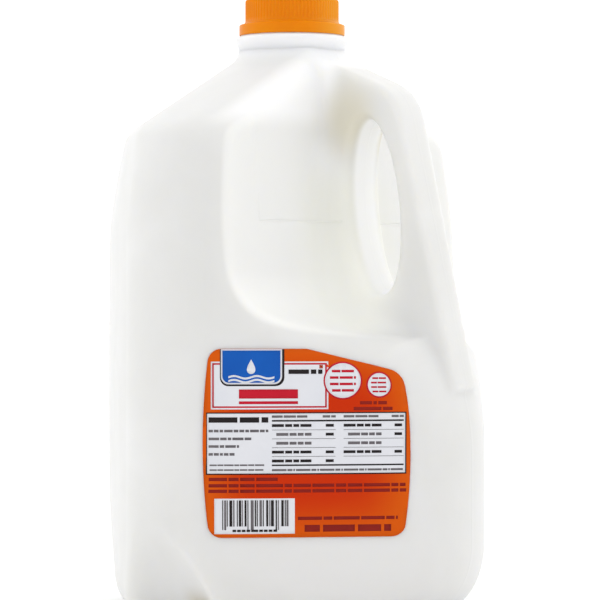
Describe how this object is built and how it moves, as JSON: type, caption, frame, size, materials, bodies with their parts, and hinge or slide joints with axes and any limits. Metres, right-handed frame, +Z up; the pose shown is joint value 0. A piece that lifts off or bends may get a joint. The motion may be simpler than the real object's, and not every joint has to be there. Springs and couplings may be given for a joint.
{
  "type": "milk jug",
  "caption": "Shut gallon jug of milk: square blow-moulded plastic body with a handle in one corner, a screw cap and a printed side label.",
  "frame": {"origin": "middle of the base, on the neck's axis, on the surface that the jug stands on", "axes": "+Z up along the neck's axis; +X towards the corner with the handle; the mould's parting plane is the XZ plane, so the finger hole runs along Y; the label is on the face between +X and -Y"},
  "size_m": [0.1824, 0.1824, 0.254],
  "materials": {
    "jug_plastic": "satin translucent polyethylene, white from the milk inside",
    "cap_plastic": "satin orange polyethylene with fine upright grip ribs",
    "label_film": "smooth printed film, orange with white, blue and dark red fields"
  },
  "bodies": {
    "root": {"jug": "jug_plastic", "cap": "cap_plastic", "label": "label_film"}
  },
  "joints": []
}
